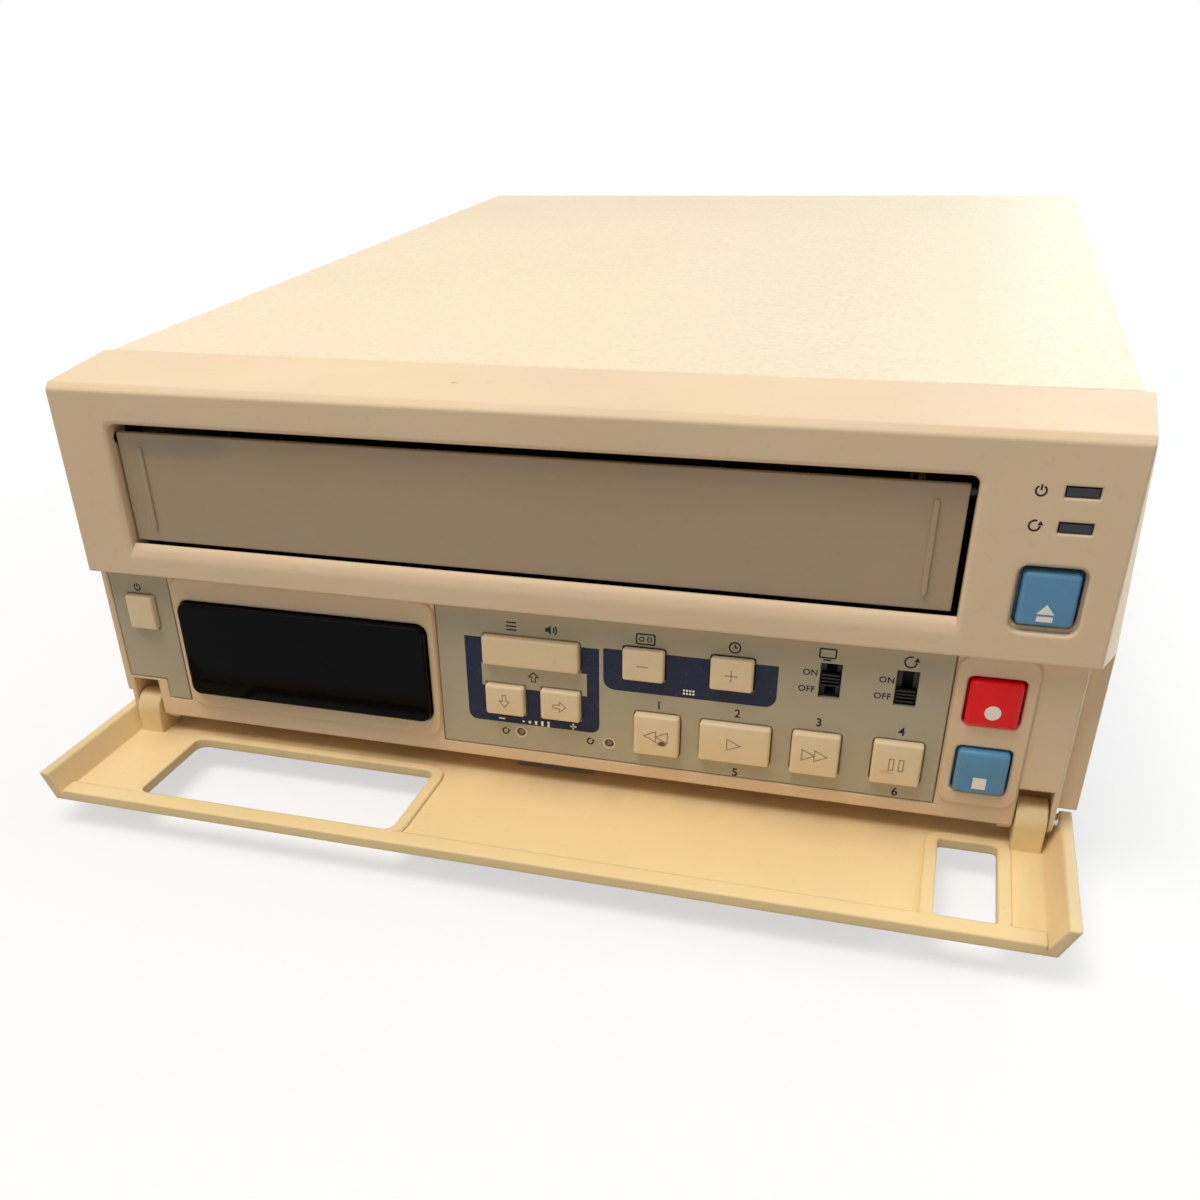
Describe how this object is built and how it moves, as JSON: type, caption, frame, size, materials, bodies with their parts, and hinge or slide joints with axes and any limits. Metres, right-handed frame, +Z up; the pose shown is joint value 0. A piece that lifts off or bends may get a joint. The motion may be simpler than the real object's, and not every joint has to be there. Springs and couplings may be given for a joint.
{
  "type": "vhs video cassette recorder",
  "caption": "Front loading video cassette recorder with a folded steel cover, a cassette flap, a fold-down control door, push buttons and the tape mechanism inside.",
  "frame": {"origin": "middle of the footprint with the control door lowered, at the floor under the feet", "axes": "+X to the right seen from the front, +Y from the front to the back, +Z up"},
  "size_m": [0.2772, 0.4172, 0.1165],
  "materials": {
    "moulding": "satin",
    "flap": "satin",
    "plate": "satin",
    "cap": "satin",
    "blue_cap": "satin",
    "red_cap": "satin",
    "smoked": "polished",
    "black_plastic": "satin",
    "cover_paint": "textured",
    "zinc_sheet": "zinc plated",
    "bright_steel": "polished",
    "head_metal": "turned",
    "board": "solder mask",
    "supply": "varnished",
    "rubber": "matte",
    "white_plastic": "satin"
  },
  "bodies": {
    "machine": {"front_bezel": "moulding", "power_lamp": "smoked", "repeat_lamp": "smoked", "control_plate": "plate", "power_plate": "plate", "display_window": "smoked", "switch_board": "board", "display_module": "black_plastic", "hinge_pin_left": "bright_steel", "hinge_pin_right": "bright_steel", "top_cover": "cover_paint", "base_pan": "zinc_sheet", "power_supply": "supply", "main_board": "board", "foot_front_left": "rubber", "foot_front_right": "rubber", "foot_rear_left": "rubber", "foot_rear_right": "rubber", "rear_panel": "zinc_sheet", "mains_inlet": "black_plastic", "jack_block": "bright_steel", "terminal_block": "black_plastic", "deck_plate": "zinc_sheet", "lower_drum": "head_metal", "capstan_motor": "zinc_sheet", "control_head": "head_metal", "erase_head": "head_metal", "loading_motor": "black_plastic", "carriage_rail_left": "zinc_sheet", "carriage_rail_right": "zinc_sheet"},
    "door": {"front_door": "moulding"},
    "flap": {"cassette_flap": "flap"},
    "menu_key": {"menu_button": "cap"},
    "down_key": {"down_button": "cap"},
    "right_key": {"right_button": "cap"},
    "minus_key": {"minus_button": "cap"},
    "plus_key": {"plus_button": "cap"},
    "rewind_key": {"rewind_button": "cap"},
    "play_key": {"play_button": "cap"},
    "forward_key": {"forward_button": "cap"},
    "pause_key": {"pause_button": "cap"},
    "power_key": {"power_button": "cap"},
    "record_key": {"record_button": "red_cap"},
    "stop_key": {"stop_button": "blue_cap"},
    "eject_key": {"eject_button": "blue_cap"},
    "onscreen_knob": {"onscreen_switch": "black_plastic"},
    "repeat_knob": {"repeat_switch": "black_plastic"},
    "all_reset_plunger": {"all_reset": "black_plastic"},
    "menu_reset_plunger": {"menu_reset": "black_plastic"},
    "carriage": {"cassette_carriage": "zinc_sheet"},
    "drum_rotor": {"upper_drum": "head_metal"},
    "capstan_rotor": {"capstan": "bright_steel"},
    "supply_turntable": {"supply_reel": "white_plastic"},
    "takeup_turntable": {"takeup_reel": "white_plastic"},
    "idler": {"idler_gear": "white_plastic"},
    "mode_cam": {"cam_gear": "white_plastic"},
    "supply_sled": {"supply_guide": "bright_steel"},
    "takeup_sled": {"takeup_guide": "bright_steel"},
    "pinch_lever": {"pinch_arm": "zinc_sheet"},
    "pinch_wheel": {"pinch_roller": "rubber"}
  },
  "joints": [
    {"name": "door_hinge", "type": "hinge", "parent": "machine", "child": "door", "pos_m": [0, -0.16237, 0.0157], "axis": [-1, 0, 0], "range_deg": [0, 88.8]},
    {"name": "flap_hinge", "type": "hinge", "parent": "machine", "child": "flap", "pos_m": [-0.0084, -0.16607, 0.1004], "axis": [1, 0, 0], "range_deg": [0, 85], "stiffness_Nm_per_rad": 0.004, "springref_deg": -20.05},
    {"name": "menu_press", "type": "slide", "parent": "machine", "child": "menu_key", "axis": [0, 1, 0], "range_m": [0, 0.0012], "stiffness_N_per_m": 200, "springref_m": -0.001},
    {"name": "down_press", "type": "slide", "parent": "machine", "child": "down_key", "axis": [0, 1, 0], "range_m": [0, 0.0012], "stiffness_N_per_m": 200, "springref_m": -0.001},
    {"name": "right_press", "type": "slide", "parent": "machine", "child": "right_key", "axis": [0, 1, 0], "range_m": [0, 0.0012], "stiffness_N_per_m": 200, "springref_m": -0.001},
    {"name": "minus_press", "type": "slide", "parent": "machine", "child": "minus_key", "axis": [0, 1, 0], "range_m": [0, 0.0012], "stiffness_N_per_m": 200, "springref_m": -0.001},
    {"name": "plus_press", "type": "slide", "parent": "machine", "child": "plus_key", "axis": [0, 1, 0], "range_m": [0, 0.0012], "stiffness_N_per_m": 200, "springref_m": -0.001},
    {"name": "rewind_press", "type": "slide", "parent": "machine", "child": "rewind_key", "axis": [0, 1, 0], "range_m": [0, 0.0012], "stiffness_N_per_m": 200, "springref_m": -0.001},
    {"name": "play_press", "type": "slide", "parent": "machine", "child": "play_key", "axis": [0, 1, 0], "range_m": [0, 0.0012], "stiffness_N_per_m": 200, "springref_m": -0.001},
    {"name": "forward_press", "type": "slide", "parent": "machine", "child": "forward_key", "axis": [0, 1, 0], "range_m": [0, 0.0012], "stiffness_N_per_m": 200, "springref_m": -0.001},
    {"name": "pause_press", "type": "slide", "parent": "machine", "child": "pause_key", "axis": [0, 1, 0], "range_m": [0, 0.0012], "stiffness_N_per_m": 200, "springref_m": -0.001},
    {"name": "power_press", "type": "slide", "parent": "machine", "child": "power_key", "axis": [0, 1, 0], "range_m": [0, 0.0012], "stiffness_N_per_m": 200, "springref_m": -0.001},
    {"name": "record_press", "type": "slide", "parent": "machine", "child": "record_key", "axis": [0, 1, 0], "range_m": [0, 0.0012], "stiffness_N_per_m": 200, "springref_m": -0.001},
    {"name": "stop_press", "type": "slide", "parent": "machine", "child": "stop_key", "axis": [0, 1, 0], "range_m": [0, 0.0012], "stiffness_N_per_m": 200, "springref_m": -0.001},
    {"name": "eject_press", "type": "slide", "parent": "machine", "child": "eject_key", "axis": [0, 1, 0], "range_m": [0, 0.0012], "stiffness_N_per_m": 200, "springref_m": -0.001},
    {"name": "onscreen_slide", "type": "slide", "parent": "machine", "child": "onscreen_knob", "axis": [0, 0, 1], "range_m": [-0.0023, 0.0023]},
    {"name": "repeat_slide", "type": "slide", "parent": "machine", "child": "repeat_knob", "axis": [0, 0, 1], "range_m": [0, 0.0046]},
    {"name": "all_reset_press", "type": "slide", "parent": "machine", "child": "all_reset_plunger", "axis": [0, 1, 0], "range_m": [0, 0.0009], "stiffness_N_per_m": 60, "springref_m": -0.001},
    {"name": "menu_reset_press", "type": "slide", "parent": "machine", "child": "menu_reset_plunger", "axis": [0, 1, 0], "range_m": [0, 0.0009], "stiffness_N_per_m": 60, "springref_m": -0.001},
    {"name": "carriage_slide", "type": "slide", "parent": "machine", "child": "carriage", "axis": [0, 1, 0], "range_m": [0, 0.05]},
    {"name": "drum_spin", "type": "hinge", "parent": "machine", "child": "drum_rotor", "pos_m": [-0.0084, 0.07433, 0.0535], "axis": [0.1045, 0, 0.9945], "continuous": true},
    {"name": "capstan_spin", "type": "hinge", "parent": "machine", "child": "capstan_rotor", "pos_m": [0.0396, 0.03933, 0.05], "axis": [0, 0, 1], "continuous": true},
    {"name": "supply_reel_spin", "type": "hinge", "parent": "machine", "child": "supply_turntable", "pos_m": [-0.0544, -0.02167, 0.05], "axis": [0, 0, 1], "continuous": true},
    {"name": "takeup_reel_spin", "type": "hinge", "parent": "machine", "child": "takeup_turntable", "pos_m": [0.0376, -0.02167, 0.05], "axis": [0, 0, 1], "continuous": true},
    {"name": "idler_spin", "type": "hinge", "parent": "machine", "child": "idler", "pos_m": [-0.0084, 0.00933, 0.05], "axis": [0, 0, 1], "continuous": true},
    {"name": "supply_guide_slide", "type": "slide", "parent": "machine", "child": "supply_sled", "axis": [-0.1392, 0.9903, 0], "range_m": [0, 0.058]},
    {"name": "takeup_guide_slide", "type": "slide", "parent": "machine", "child": "takeup_sled", "axis": [0.1392, 0.9903, 0], "range_m": [0, 0.058]},
    {"name": "mode_cam_turn", "type": "hinge", "parent": "machine", "child": "mode_cam", "pos_m": [-0.0924, 0.05533, 0.05], "axis": [0, 0, 1], "range_deg": [0, 300]},
    {"name": "pinch_swing", "type": "hinge", "parent": "machine", "child": "pinch_lever", "pos_m": [0.06349, 0.05903, 0.05], "axis": [0, 0, -1], "range_deg": [0, 20], "stiffness_Nm_per_rad": 0.01, "springref_deg": -11.46},
    {"name": "pinch_roller_spin", "type": "hinge", "parent": "pinch_lever", "child": "pinch_wheel", "pos_m": [0.05577, 0.03526, 0.06], "axis": [0, 0, 1], "continuous": true}
  ],
  "couplings": [
    {"joint": "takeup_guide_slide", "follows": "supply_guide_slide", "ratio": 1},
    {"joint": "mode_cam_turn", "follows": "supply_guide_slide", "rad_per_m": 90}
  ]
}
